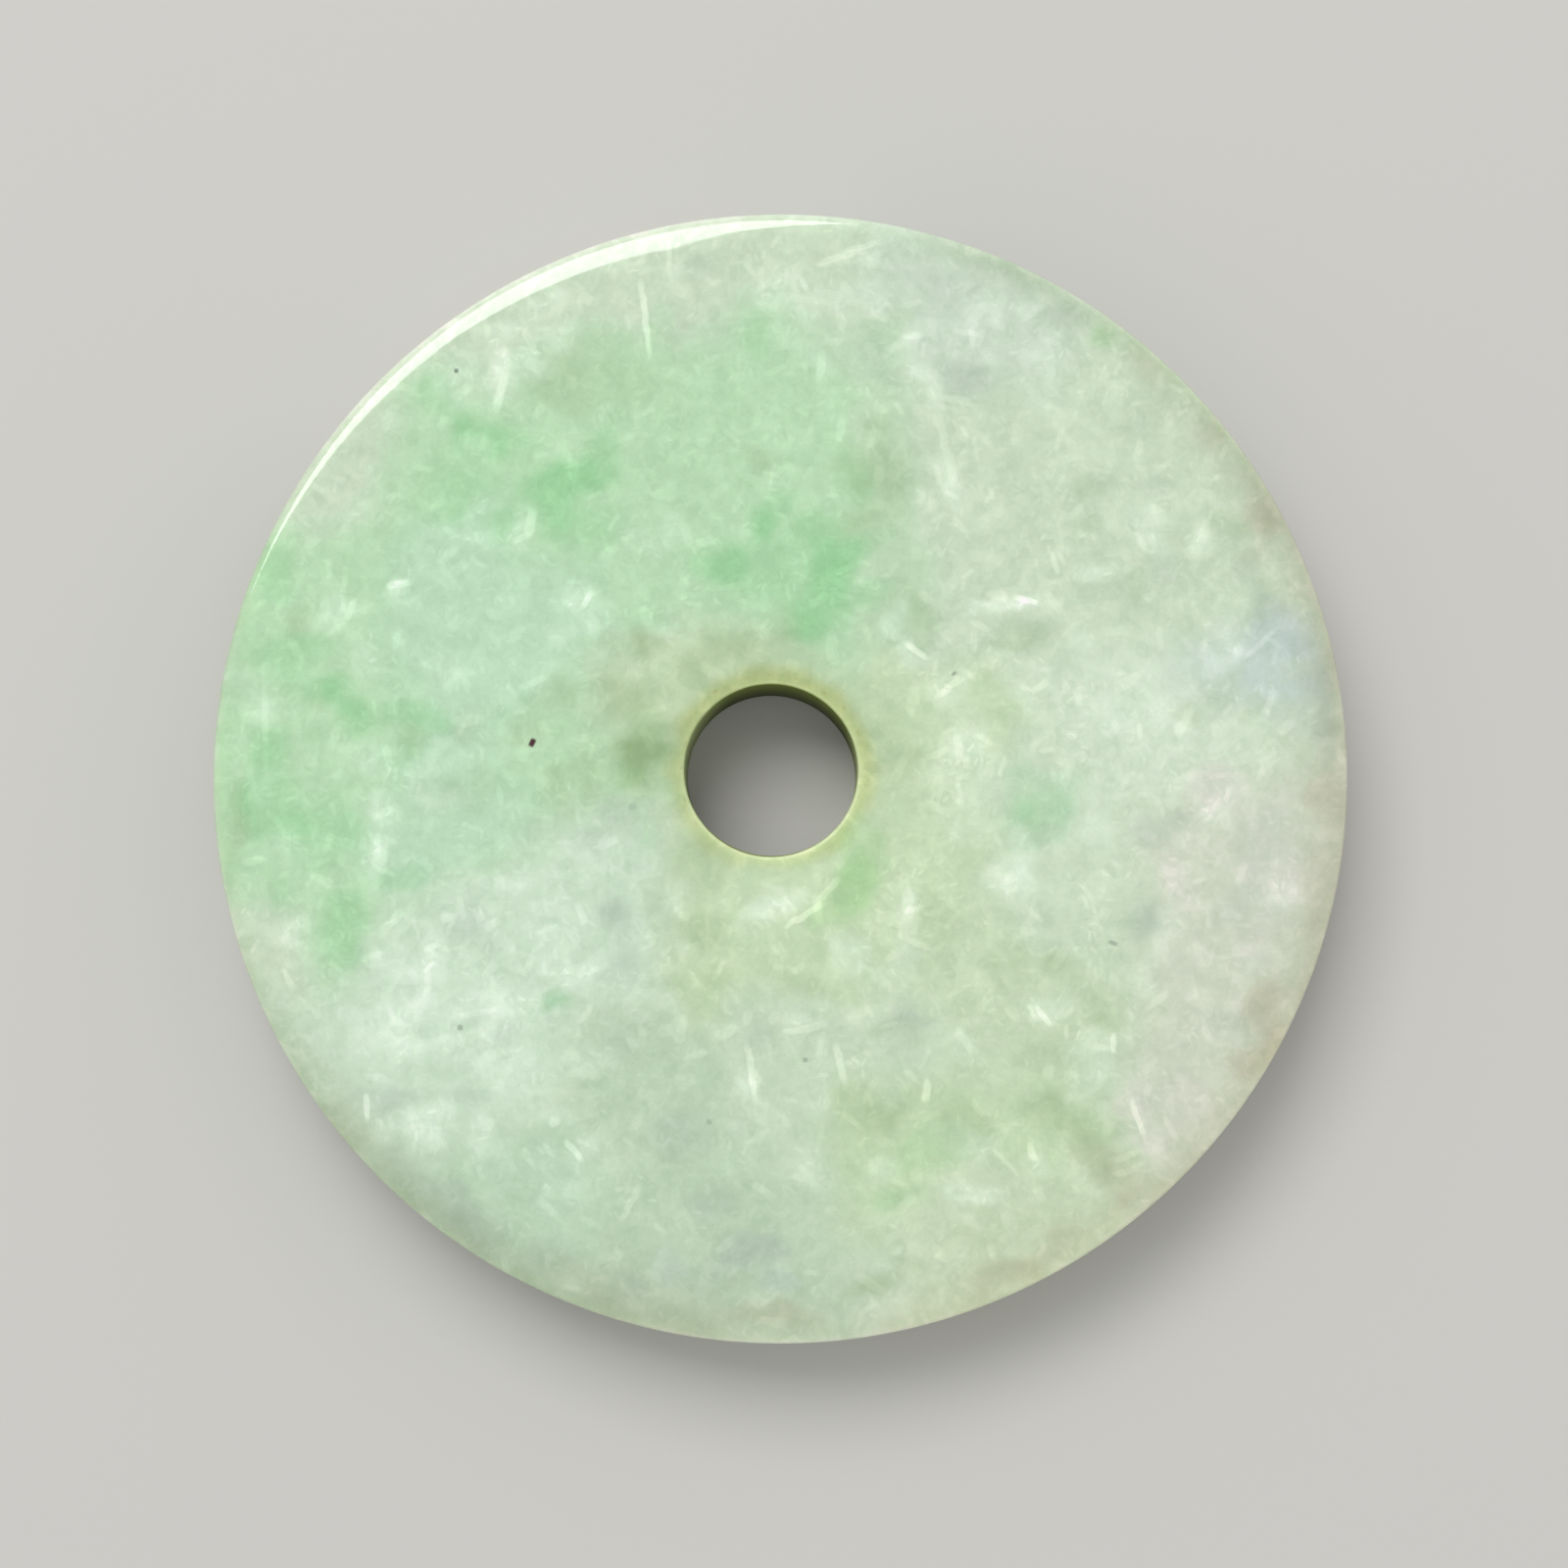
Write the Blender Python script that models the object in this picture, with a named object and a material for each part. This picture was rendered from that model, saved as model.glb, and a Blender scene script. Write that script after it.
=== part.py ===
"""Jade donut pendant: one flat disc of polished stone, drilled through near its middle for a cord.

The disc lies on the plane z = 0 with its centre on the Z axis, and its front face looks up.
Its body is a closed stack of rings: over the front face, round the rim, back under and up the hole.
"""
import math

import bmesh
import bpy
from mathutils import Matrix

# Driving dimensions, in metres
DISC_DIAMETER = 0.0500
DISC_THICKNESS = 0.0050
HOLE_DIAMETER = 0.0076
HOLE_OFFSET_X = -0.0004
HOLE_OFFSET_Y = 0.0

# The rim's rounding reaches further in over the face than down the side, and starts gently
RIM_ROUND_WIDTH = 0.0002
RIM_ROUND_DEPTH = 0.00015
RIM_ROUND_START = 3.0

# The two lips of the hole are only eased
LIP_RADIUS = 0.00015

# Facets
SEGMENTS = 144
RIM_ROUND_STEPS = 6
LIP_STEPS = 3
SMOOTH_ANGLE = math.radians(35)

# Finish of the stone
JADE_COLOUR = (0.545, 0.699, 0.552, 1.0)
JADE_ROUGHNESS = 0.12
JADE_IOR = 1.66


def clear_scene():
    """Removes every object that the file starts with."""
    for old in list(bpy.data.objects):
        bpy.data.objects.remove(old, do_unlink=True)


def jade_material():
    """Polished pale green stone: glossy, with no metal in it."""
    material = bpy.data.materials.new("polished_jade")
    material.use_nodes = True
    shader = material.node_tree.nodes["Principled BSDF"]
    shader.inputs["Base Color"].default_value = JADE_COLOUR
    shader.inputs["Metallic"].default_value = 0.0
    shader.inputs["Roughness"].default_value = JADE_ROUGHNESS
    shader.inputs["IOR"].default_value = JADE_IOR
    material.diffuse_color = JADE_COLOUR
    return material


def rim_rings():
    """Radius and height of each ring from the front face out to the side.

    The rounding's drop below the face follows a superellipse. Across the face it goes by RIM_ROUND_START,
    so the face curves down slowly at first. Down the side it goes by a plain square, as a circle does.
    """
    radius = DISC_DIAMETER / 2
    width = min(RIM_ROUND_WIDTH, radius / 2)
    depth = min(RIM_ROUND_DEPTH, DISC_THICKNESS * 0.45)
    rings = []
    for step in range(RIM_ROUND_STEPS + 1):
        turn = math.pi / 2 * step / RIM_ROUND_STEPS
        across = math.sin(turn) ** (2 / RIM_ROUND_START)
        down = 1 - math.cos(turn)
        rings.append((radius - width + width * across, DISC_THICKNESS - depth * down))
    return rings


def lip_rings():
    """Radius and height of each ring from the hole's wall up to the front face, along a quarter circle."""
    radius = HOLE_DIAMETER / 2
    ease = min(LIP_RADIUS, DISC_THICKNESS * 0.45)
    rings = []
    for step in range(LIP_STEPS + 1):
        turn = math.pi / 2 * step / LIP_STEPS
        rings.append((radius + ease * (1 - math.cos(turn)), DISC_THICKNESS - ease * (1 - math.sin(turn))))
    return rings


def mirrored_below(rings):
    """The same rings on the back face, met in the opposite order."""
    return [(radius, DISC_THICKNESS - height) for radius, height in reversed(rings)]


def add_ring(mesh, radius, centre):
    """One open circle of edges at the given centre."""
    made = bmesh.ops.create_circle(
        mesh, cap_ends=False, radius=radius, segments=SEGMENTS, matrix=Matrix.Translation(centre)
    )
    corners = set(made["verts"])
    return [edge for edge in mesh.edges if corners.issuperset(edge.verts)]


def disc_mesh():
    """Bridges each ring to the next, all the way round the section, so the body closes on itself."""
    mesh = bmesh.new()
    rim = rim_rings()
    lip = lip_rings()
    loops = []
    for radius, height in rim + mirrored_below(rim):
        loops.append(add_ring(mesh, radius, (0, 0, height)))
    for radius, height in mirrored_below(lip) + lip:
        loops.append(add_ring(mesh, radius, (HOLE_OFFSET_X, HOLE_OFFSET_Y, height)))
    for here, there in zip(loops, loops[1:] + loops[:1]):
        bmesh.ops.bridge_loops(mesh, edges=here + there)
    bmesh.ops.recalc_face_normals(mesh, faces=mesh.faces)
    return mesh


def add_jade_disc():
    """The whole pendant, cut from one piece of stone."""
    data = bpy.data.meshes.new("jade_disc")
    mesh = disc_mesh()
    mesh.to_mesh(data)
    mesh.free()
    data.materials.append(jade_material())
    data.shade_smooth()
    data.set_sharp_from_angle(angle=SMOOTH_ANGLE)
    disc = bpy.data.objects.new("jade_disc", data)
    bpy.context.scene.collection.objects.link(disc)
    return disc


clear_scene()
add_jade_disc()
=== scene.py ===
"""Looks of the jade donut pendant: a polished jadeite disc with its clouds, crystals and stains."""

import math

import bpy
import numpy as np
from mathutils import Matrix, Vector


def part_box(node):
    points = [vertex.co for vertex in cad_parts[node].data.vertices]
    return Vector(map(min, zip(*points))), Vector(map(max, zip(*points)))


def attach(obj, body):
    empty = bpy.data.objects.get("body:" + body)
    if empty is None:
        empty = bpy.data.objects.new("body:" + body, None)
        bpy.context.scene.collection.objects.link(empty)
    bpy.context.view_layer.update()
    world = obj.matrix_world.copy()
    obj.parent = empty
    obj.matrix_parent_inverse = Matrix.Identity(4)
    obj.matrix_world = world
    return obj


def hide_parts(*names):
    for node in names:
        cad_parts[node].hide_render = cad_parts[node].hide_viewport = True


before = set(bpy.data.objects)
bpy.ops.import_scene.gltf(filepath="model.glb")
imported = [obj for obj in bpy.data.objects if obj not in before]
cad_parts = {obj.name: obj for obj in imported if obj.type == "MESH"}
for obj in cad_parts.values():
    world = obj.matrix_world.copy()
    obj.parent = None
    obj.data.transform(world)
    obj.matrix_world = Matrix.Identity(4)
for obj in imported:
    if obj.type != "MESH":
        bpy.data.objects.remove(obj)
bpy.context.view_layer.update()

MM = 0.001

# Sizes of the disc, in millimetres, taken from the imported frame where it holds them
LOW, HIGH = (np.array(corner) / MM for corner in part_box("jade_disc"))
RADIUS = (HIGH[0] - LOW[0]) / 2
THICKNESS = HIGH[2] - LOW[2]
HOLE_CENTRE = np.array([-0.4, 0.0])
HOLE_RADIUS = 3.8
LIP_ROUND = 0.15
RIM_ROUND_WIDTH = 0.20
RIM_ROUND_DEPTH = 0.15
RIM_ROUND_START = 3.0
# On one side the polisher has worn the rounding wide: heading and half span in degrees, more width and depth
WORN_HEADING = 120.0
WORN_SPAN = 50.0
WORN_WIDTH = 0.92
WORN_DEPTH = 0.34

# Steps of the surface grid, round the disc and along its section
AROUND = 600
HOLE_WALL_STEPS = 10
LIP_STEPS = 5
FRONT_STEPS = 84
BACK_STEPS = 24
RIM_STEPS = 14
SIDE_STEPS = 6

# Hand work: how far the real surface strays from the true one, in millimetres. The rounding's width strays by
# a share of itself.
RIM_STRAY = 0.03
ROUNDING_STRAY = 0.10
HOLE_OVAL = 0.03
HOLE_OVAL_HEADING = -15.0
FACE_WAVE = 0.006
WAVE_LENGTHS = (17.0, 11.0, 7.3, 5.1)
HAND_SEED = 7

# How the colour bodies run down through the stone, in millimetres sideways for each millimetre of depth
SLANT = np.array([0.55, -0.35])
# How far noise pushes the bodies' edges: size of the noise and its reach, in millimetres
EDGE_NOISE = ((3.1, 0.7), (1.3, 0.40), (0.7, 0.2))
# How much of a field's colour shows over the ground
FIELD_SHARE = 0.95
# A cloud's strength varies about this share of itself, by noise of this size and height
CLOUD_SHARE = 0.78
CLOUD_NOISE = (0.9, 0.34)
# How thin and how thick the felt may get, where the ground's is 1
FELT_RANGE = (0.1, 2.5)

# Colours, as sRGB
GROUND = "#CBDBC4"
APPLE_GREEN = "#8CCB92"
LEAF_GREEN = "#9ACC8A"
MILK = "#E6F4E5"
VIOLET_GREY = "#B1C0B3"
OLIVE_SHADE = "#A3BA93"
MOSS = "#8BAC76"
RUST = "#B4AE92"
LAVENDER = "#B7C5CE"
ROSE = "#E6DEDC"
# Partly an olive stain along the rim and partly painted shade darkening its edge
RIM_STAIN_AND_SHADE = "#9CA88C"
HAND_BEIGE = "#ABA795"
# Painted highlight: cream light painted along the rim where its edge catches the light
RIM_PAINTED_HIGHLIGHT = "#E2E3D6"
# Partly the wall's olive stain and partly painted shade, darker than the stain alone
WALL_STAIN_AND_SHADE = "#5C690C"
# Painted shade deep down in the hole
WALL_PAINTED_SHADE = "#2A2E06"
OIL_BROWN = "#A08A55"
MAROON = "#4A1420"
DARK_GREY = "#66766A"
FLOOR_PALE = "#C6C5C2"
FILL_WHITE = "#F6F6F4"
# What one step of the grain's tone does to red, green and blue, as a share of each
GRAIN_SWING = (0.026, 0.020, 0.026)
# What full oil takes from red, green and blue, and how far out it reaches
OIL_TAKES = np.array([0.045, 0.07, 0.21])
OIL_REACH = 1.1
# The oil's reach strays by noise of this size and share, and it is thicker above the hole than below
OIL_NOISE = (1.1, 0.35)
OIL_MEAN = 0.82
OIL_TILT = 0.18
# How much lighter the lip's thin edge is painted than the face, a painted highlight where light catches the
# lip, how far out that ends, and over what width it fades
LIP_SHINES = 0.04
LIP_SHINE_REACH = 0.4
LIP_SHINE_FADE = 0.25
# Tints along the rim: colour, heading and half span in degrees, strength at the edge, and the depth inwards
# over which it fades. The beige and rust ones are stains. The dark olive ones are partly stain and partly
# painted shade along the edge, and the cream ones are a painted highlight where the edge catches the light.
RIM_TINTS = (
    (RIM_STAIN_AND_SHADE, 235, 30, 0.75, 1.0), (HAND_BEIGE, 8, 30, 0.80, 0.7), (RIM_STAIN_AND_SHADE, 52, 22, 0.50, 0.8),
    (RUST, 272, 20, 0.25, 1.2), (RIM_PAINTED_HIGHLIGHT, 270, 16, 0.55, 0.12), (RIM_STAIN_AND_SHADE, 172, 34, 0.60, 0.25),
    (RUST, 315, 28, 0.45, 0.8), (RIM_PAINTED_HIGHLIGHT, 118, 28, 0.80, 0.4),
)
# Their strength varies by noise of this size and share
RIM_NOISE = (1.0, 0.25)

# The stone's fields of colour: colour, width of the soft edge, outline. Places are in millimetres on the
# front face, from the disc's centre. A later field covers an earlier one.
FIELDS = (
    ("#CAD9C8", 2.0, ((4, 23), (3.5, 21.5), (5.5, 18), (9, 16.5), (12, 17.5), (14, 19), (17, 26),
                      (4, 28))),
    ("#D4E2CF", 2.4, ((10.5, 4.5), (13, 6), (18, 6), (21, 6.5), (20.5, 3), (22, 0), (20.5, -1.6), (18, -2),
                      (15.5, -1.6), (13.5, -3.5), (12.8, -1), (11.5, 1.5))),
    ("#D0D7C6", 1.8, ((16.5, -2.5), (18.5, -1.3), (21, -0.5), (23, 0.8), (28, 1), (28, -16), (17, -24),
                      (15.2, -17.5), (15.6, -14), (16.2, -9), (16.8, -5))),
    ("#C9DBBB", 1.4, ((-5.2, -2.5), (-5, -9), (-4, -12), (-2.2, -11), (-2, -10), (2.5, -10), (5, -9.8),
                      (8, -10.5), (11, -9), (9.3, -6), (9.5, -3), (8.5, -1), (10.5, 2), (9.5, 4.8),
                      (6.5, 4.5), (4.5, 7), (3, 5), (0, 6.2), (-4, 6.6), (-8, 4.5), (-8, 2), (-5.5, 1.5))),
    ("#C9DABD", 1.6, ((6, -7.5), (9, -5.5), (9.5, -8), (12, -8), (15, -8.5), (15.8, -12), (13, -13.5),
                      (7.5, -13), (6.5, -10.5))),
    ("#C6D9B8", 1.6, ((2, -13.5), (5, -14), (7, -13.5), (10, -13), (12, -13.5), (15, -14.5), (15.2, -17.5),
                      (12, -18.2), (8.5, -17), (7, -18.5), (6, -20.5), (2.5, -20), (1.8, -17))),
    ("#CAD9BD", 1.6, ((6, -20.5), (8, -17.3), (12, -17.8), (15.5, -17.8), (14, -26), (6, -26))),
    ("#BFD3BA", 1.6, ((-8.5, -10.8), (-5.6, -10), (-4, -12), (-2, -12), (-1.8, -15), (1, -15), (1.8, -17),
                      (2.2, -20), (4, -23), (4, -28), (-10, -28), (-9, -20), (-7.5, -17), (-9.5, -14.5))),
    ("#CADBC3", 1.0, ((-2, -10), (2, -10), (2.5, -13), (1.8, -18), (0, -18), (-0.5, -15), (-2.2, -14.5))),
    ("#BFD6BE", 1.4, ((-16, -16.8), (-13, -16), (-10, -15.5), (-8.3, -17), (-7.8, -19), (-8.5, -22),
                      (-10, -28), (-22, -24))),
    ("#CEE0CC", 1.3, ((-12.5, -4.2), (-9.5, -2.2), (-6.5, -2), (-5.3, -3), (-5, -7), (-5.6, -10),
                      (-8.3, -10.5), (-8.8, -13), (-10.5, -15), (-13, -16.3), (-16, -17.3), (-20, -19),
                      (-26, -12), (-24, -9.5), (-19.6, -10), (-18, -8.3), (-17.4, -6.3), (-15.5, -4.8))),
    ("#BBDBB8", 1.3, ((3, 4.5), (4.5, 7), (4.8, 11), (3.8, 15), (4.5, 17.5), (2, 19.5), (0.5, 20.3),
                      (-1.5, 20.8), (-3, 19.8), (-4.5, 18.8), (-5.3, 20.5), (-6.3, 19.5), (-8, 19.6),
                      (-10.5, 18.6), (-11.8, 16.7), (-12.8, 16.2), (-13.6, 17.5), (-15.5, 18), (-17, 17),
                      (-16.8, 15.5), (-17.2, 13.5), (-18, 11.5), (-20.5, 11), (-28, 13), (-28, -5.5),
                      (-21.5, -5.6), (-20.6, -8), (-19.5, -10), (-18, -8.3), (-17.4, -6.3), (-15.5, -4.8),
                      (-12.5, -4.2), (-9.5, -2.2), (-6.5, -1.6), (-5, -0.5), (-6, 1.5), (-8.2, 2),
                      (-8.5, 4.5), (-6.8, 6.8), (-4, 6.5), (-1, 6.3), (1.5, 5))),
    ("#C0DDC2", 1.8, ((-16, 11), (-13, 12), (-11.5, 9), (-8.5, 8.5), (-8, 6.5), (-10, 4), (-12, 2),
                      (-13, -0.5), (-11, -2), (-13, -4), (-17, -5.5), (-18.3, -3), (-16, -1), (-16, 2.5),
                      (-16.8, 5), (-17, 8))),
    ("#BFD8B9", 1.2, ((3.4, 15), (4, 11), (4.6, 8), (4, 6), (6, 5.5), (7, 6.5), (6.8, 8.5), (6, 11),
                      (5.8, 14), (6.2, 17.5), (5.5, 20), (3, 19.8), (4.3, 17.5), (3.8, 16))),
)

# Clouds in the fields: colour, how much thicker the felt is there, and for each cloud x, y, half width, half
# height, heading in degrees, strength at the middle
CLOUDS = (
    (VIOLET_GREY, -0.6, (
        (7.4, 21.2, 1.8, 1.1, -15, 0.30), (9.6, 22.2, 1.8, 0.7, -20, 0.30), (8.8, 17.2, 1.5, 1.2, 0, 0.40),
        (12.5, 20.5, 1.0, 0.8, -30, 0.35), (4.3, 18.5, 1.4, 1.0, 0, 0.40), (-3.4, 22.7, 1.2, 1.2, 0, 0.30),
        (-4.0, 20.4, 1.2, 0.9, 0, 0.20), (16.8, 8.6, 1.3, 0.9, 0, 0.30), (22.0, 6.9, 1.5, 1.1, 0, 0.62),
        (21.0, 8.8, 1.0, 1.4, 0, 0.40), (24.0, 3.0, 0.8, 3.2, 5, 0.60), (16.8, -2.5, 1.6, 0.8, 0, 0.35),
        (16.2, -6.6, 1.2, 1.0, 0, 0.50), (19.9, -6.0, 1.2, 1.0, 0, 0.35), (-17.0, -14.5, 1.6, 1.0, 0, 0.40),
        (-13.6, -14.5, 1.3, 0.8, 0, 0.35), (-7.2, -6.5, 1.1, 0.9, 0, 0.50), (-6.7, -8.6, 0.8, 1.4, 0, 0.30),
        (-13.8, -7.0, 1.6, 1.0, 0, 0.30), (5.6, -11.5, 1.3, 0.9, 0, 0.45), (-0.7, -11.8, 0.9, 1.0, 0, 0.50),
        (-4.5, -16.0, 2.0, 1.9, 0, 0.35), (-6.8, -11.8, 1.8, 1.6, 0, 0.20),
        (-3.0, -19.0, 1.8, 1.0, 0, 0.35), (-1.3, -20.9, 2.0, 1.0, 0, 0.75),
        (-3.4, -22.3, 1.4, 1.4, 0, 0.40), (-13.6, -19.6, 2.6, 1.0, -38, 0.70),
        (-16.3, -17.9, 1.8, 0.9, -42, 0.40), (-10.0, -21.5, 2.0, 0.8, -25, 0.35),
        (-6.1, -22.8, 1.4, 1.0, 0, 0.50), (-24.0, 5.0, 1.0, 2.5, 0, 0.30),
        (-19.2, 13.2, 1.6, 1.6, 20, 0.10), (-2.3, -20.7, 1.1, 0.9, 0, 0.30),
        (19.8, -11.2, 1.1, 1.0, 0, 0.30), (16.0, 15.8, 1.0, 0.9, 0, 0.25), (-7.2, -2.2, 1.1, 0.9, 0, 0.30),
        (20.9, -8.7, 1.0, 0.9, 0, 0.25), (-2.7, 19.3, 1.2, 1.0, 0, 0.20), (-11.4, -2.8, 1.2, 0.9, 0, 0.25),
        (5.6, -8.2, 1.0, 1.0, 0, 0.20), (4.7, 12.9, 1.0, 1.0, 0, 0.15), (21.5, -4.2, 1.6, 3.6, 0, 0.26),
        (-12.1, -10.7, 1.0, 0.8, 0, 0.25), (16.9, 12.3, 1.0, 0.8, 0, 0.25), (5.5, 17.4, 1.0, 0.8, 0, 0.20),
        (-2.0, -21.9, 0.9, 0.7, 0, 0.25), (-3.6, -19.5, 1.0, 0.8, 0, 0.25),
        (-2.0, -15.7, 1.0, 0.8, 0, 0.25), (-8.3, -3.3, 0.9, 0.8, 0, 0.20),
    )),
    (OLIVE_SHADE, -0.5, (
        (4.6, 13.3, 1.5, 2.4, 0, 0.34), (3.3, 11.9, 1.0, 1.0, 0, 0.26), (-9.0, 18.2, 2.2, 1.4, 0, 0.22),
        (-9.4, 16.8, 1.8, 1.6, 0, 0.34), (6.6, 6.9, 1.0, 1.5, 20, 0.38), (13.1, 12.5, 1.4, 1.0, 0, 0.30),
        (13.4, 10.9, 1.3, 1.0, 0, 0.30), (10.9, 5.8, 1.9, 0.9, 0, 0.42), (15.3, 7.8, 0.7, 1.0, 0, 0.26),
        (4.6, 1.6, 1.2, 2.2, 0, 0.15), (-3.4, -6.6, 1.4, 1.3, 0, 0.38), (-3.6, -9.4, 1.4, 1.5, 0, 0.30),
        (1.1, -9.2, 1.6, 0.8, 0, 0.26), (7.2, -7.0, 1.2, 1.8, 0, 0.21), (10.0, -9.0, 1.4, 1.2, 0, 0.21),
        (12.5, -8.6, 0.8, 0.7, 0, 0.51), (14.6, -10.5, 1.2, 1.4, 0, 0.34), (11.5, -12.5, 1.2, 1.2, 0, 0.30),
        (4.2, -15.0, 2.0, 1.4, 0, 0.51), (12.0, -15.0, 2.2, 1.2, -25, 0.47),
        (13.8, -16.6, 1.6, 1.2, -40, 0.38), (8.0, -15.3, 1.6, 1.2, 0, 0.38),
        (4.2, -22.4, 1.3, 0.9, 0, 0.55), (-10.0, 3.1, 1.2, 1.4, 0, 0.30), (-9.0, -1.0, 1.8, 1.2, 0, 0.34),
        (-7.8, 0.2, 1.4, 1.2, 0, 0.30), (-14.0, -1.0, 1.8, 1.2, 0, 0.21), (-23.9, -2.2, 0.8, 2.2, 0, 0.42),
        (-6.0, 17.0, 2.0, 1.5, 0, 0.17), (-7.2, 3.2, 1.7, 1.4, 0, 0.51), (-6.2, 0.9, 1.7, 1.3, 0, 0.85),
        (-6.4, 5.5, 1.2, 1.0, 0, 0.50), (-1.8, 5.6, 1.8, 0.8, 0, 0.42), (-0.7, 1.4, 6.6, 5.6, 0, 0.55),
        (-3.6, 4.9, 1.4, 0.9, 25, 0.35), (-0.3, 6.2, 1.2, 0.7, 0, 0.35), (5.2, 0.2, 0.8, 1.4, 0, 0.40),
        (-7.3, 5.5, 1.1, 1.0, 0, 0.35), (19.2, 4.0, 1.3, 1.0, 0, 0.35), (17.6, 2.8, 1.0, 0.8, 0, 0.30),
        (-5.0, -6.6, 1.0, 1.0, 0, 0.35), (21.4, 6.8, 1.0, 0.8, 0, 0.30), (19.7, 11.0, 1.0, 1.0, 0, 0.30),
        (-3.7, -3.5, 1.8, 1.5, 0, 0.35), (5.6, -21.8, 1.0, 0.8, 0, 0.30), (3.0, 13.8, 1.1, 1.1, 0, 0.45),
        (-16.1, 1.0, 0.9, 0.8, 0, 0.30), (-7.8, 1.9, 0.9, 0.8, 0, 0.25), (4.3, -11.5, 1.0, 0.8, 0, 0.30),
        (-2.6, -8.9, 1.0, 0.8, 0, 0.30), (-0.2, 7.1, 1.2, 0.8, 0, 0.30), (-21.3, 6.9, 0.9, 0.9, 0, 0.30),
        (-14.0, 1.9, 1.0, 0.8, 0, 0.30), (-11.1, 1.6, 0.9, 0.8, 0, 0.30), (14.2, -11.6, 1.0, 0.8, 0, 0.30),
        (21.1, 2.6, 1.0, 0.8, 0, 0.30), (14.5, -15.4, 1.0, 0.8, 0, 0.30), (-1.0, 14.1, 1.0, 0.8, 0, 0.30),
        (5.8, -12.1, 0.9, 0.8, 0, 0.25), (-20.3, 2.9, 1.0, 0.8, 0, 0.30), (3.4, -12.6, 0.9, 0.7, 0, 0.25),
        (2.8, 11.3, 0.9, 0.8, 0, 0.25),
    )),
    (MOSS, -0.4, (
        (-6.1, 0.8, 1.6, 1.3, 0, 0.50), (-6.3, -0.6, 1.2, 0.9, 0, 0.50), (-5.9, 2.3, 0.9, 0.8, 0, 0.30),
    )),
    (APPLE_GREEN, -0.2, (
        (-9.6, 12.7, 2.6, 1.4, 12, 0.81), (-9.3, 11.3, 1.5, 1.3, 0, 0.45),
        (-12.9, 14.9, 2.3, 1.2, -12, 0.59), (-15.3, 16.5, 1.6, 1.0, -30, 0.26),
        (-0.7, 11.2, 1.1, 1.1, 0, 0.72), (-2.2, 9.4, 1.6, 1.3, 0, 0.52), (0.3, 9.0, 3.4, 2.4, 0, 0.28),
        (2.5, 8.2, 1.3, 1.7, -10, 0.58), (3.1, 10.0, 1.6, 1.0, 25, 0.62), (1.8, 11.0, 1.4, 1.1, 0, 0.45),
        (1.0, 6.8, 1.4, 1.2, 0, 0.66), (3.0, 13.7, 1.0, 1.3, 0, 0.18), (-1.0, 19.0, 0.8, 1.5, 0, 0.15),
        (-21.6, 5.2, 1.4, 1.7, -20, 0.30), (-19.6, 3.3, 2.0, 1.2, -25, 0.50),
        (-18.4, 2.1, 1.2, 1.0, 0, 0.45), (-22.5, 0.8, 1.2, 1.8, 0, 0.45), (-16.0, 2.0, 1.6, 0.9, -20, 0.39),
        (-22.3, -1.6, 2.2, 1.6, 0, 0.52), (-20.0, -2.6, 1.8, 1.8, 0, 0.39),
        (-19.0, -7.0, 1.3, 2.0, 0, 0.42), (-16.5, -4.9, 1.2, 0.7, 20, 0.26),
        (-14.3, 12.6, 2.4, 2.0, 0, 0.26), (-7.8, 13.6, 1.2, 1.5, 0, 0.33), (-22.5, 9.0, 1.0, 1.5, 20, 0.33),
        (11.3, -1.6, 2.3, 2.0, -12, 0.40), (-9.6, -10.2, 0.9, 0.5, 0, 0.35),
        (7.0, -16.5, 2.4, 1.0, 25, 0.14), (4.4, 8.1, 0.8, 0.9, 0, 0.35), (4.8, -19.0, 1.2, 0.8, 0, 0.26),
        (-0.1, 12.2, 1.0, 0.8, 0, 0.35), (-8.4, 10.6, 2.2, 1.5, 0, 0.28), (-12.6, 15.9, 1.0, 0.8, 0, 0.25),
        (-18.3, -8.4, 0.9, 1.1, 0, 0.25), (-22.0, -5.6, 1.0, 1.2, 0, 0.28), (-20.4, 6.0, 1.0, 0.8, 0, 0.25),
        (-14.3, 15.3, 1.0, 0.8, 0, 0.20), (-6.1, -2.7, 0.9, 0.8, 0, 0.20), (-12.2, 11.0, 1.2, 1.0, 0, 0.30),
        (-6.4, 6.8, 1.2, 0.9, 0, 0.25), (-16.4, 0.5, 1.6, 0.8, 0, 0.25),
    )),
    (LEAF_GREEN, 0.0, (
        (3.5, -4.8, 2.1, 0.85, 58, 0.62), (2.2, -6.2, 1.2, 0.6, 35, 0.40), (4.6, -3.5, 0.9, 0.7, 60, 0.35),
        (3.8, -3.2, 1.0, 1.2, 0, 0.30), (14.6, 19.3, 0.9, 0.7, -35, 0.40), (5.8, -17.3, 2.0, 0.9, 10, 0.15),
    )),
    (MILK, 1.2, (
        (-12.6, 19.2, 1.2, 1.4, -15, 0.35), (-10.6, 20.6, 1.6, 0.9, 25, 0.35),
        (-12.6, 16.8, 0.6, 1.4, -8, 0.15), (0.6, 21.2, 2.2, 1.4, 0, 0.30), (2.8, 21.2, 0.8, 1.2, -15, 0.25),
        (4.4, -9.0, 1.0, 0.7, 0, 0.30), (2.8, -7.3, 0.9, 0.6, 0, 0.25), (3.5, 23.0, 1.6, 0.6, 8, 0.40),
        (6.4, 19.3, 0.9, 1.2, 0, 0.40), (7.1, 16.6, 0.9, 2.0, 8, 0.40), (7.6, 12.8, 0.8, 1.5, 15, 0.45),
        (9.2, 20.3, 2.4, 0.9, 10, 0.30), (12.2, 18.6, 1.0, 1.6, 15, 0.30), (12.3, 16.3, 1.4, 1.6, 0, 0.30),
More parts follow.
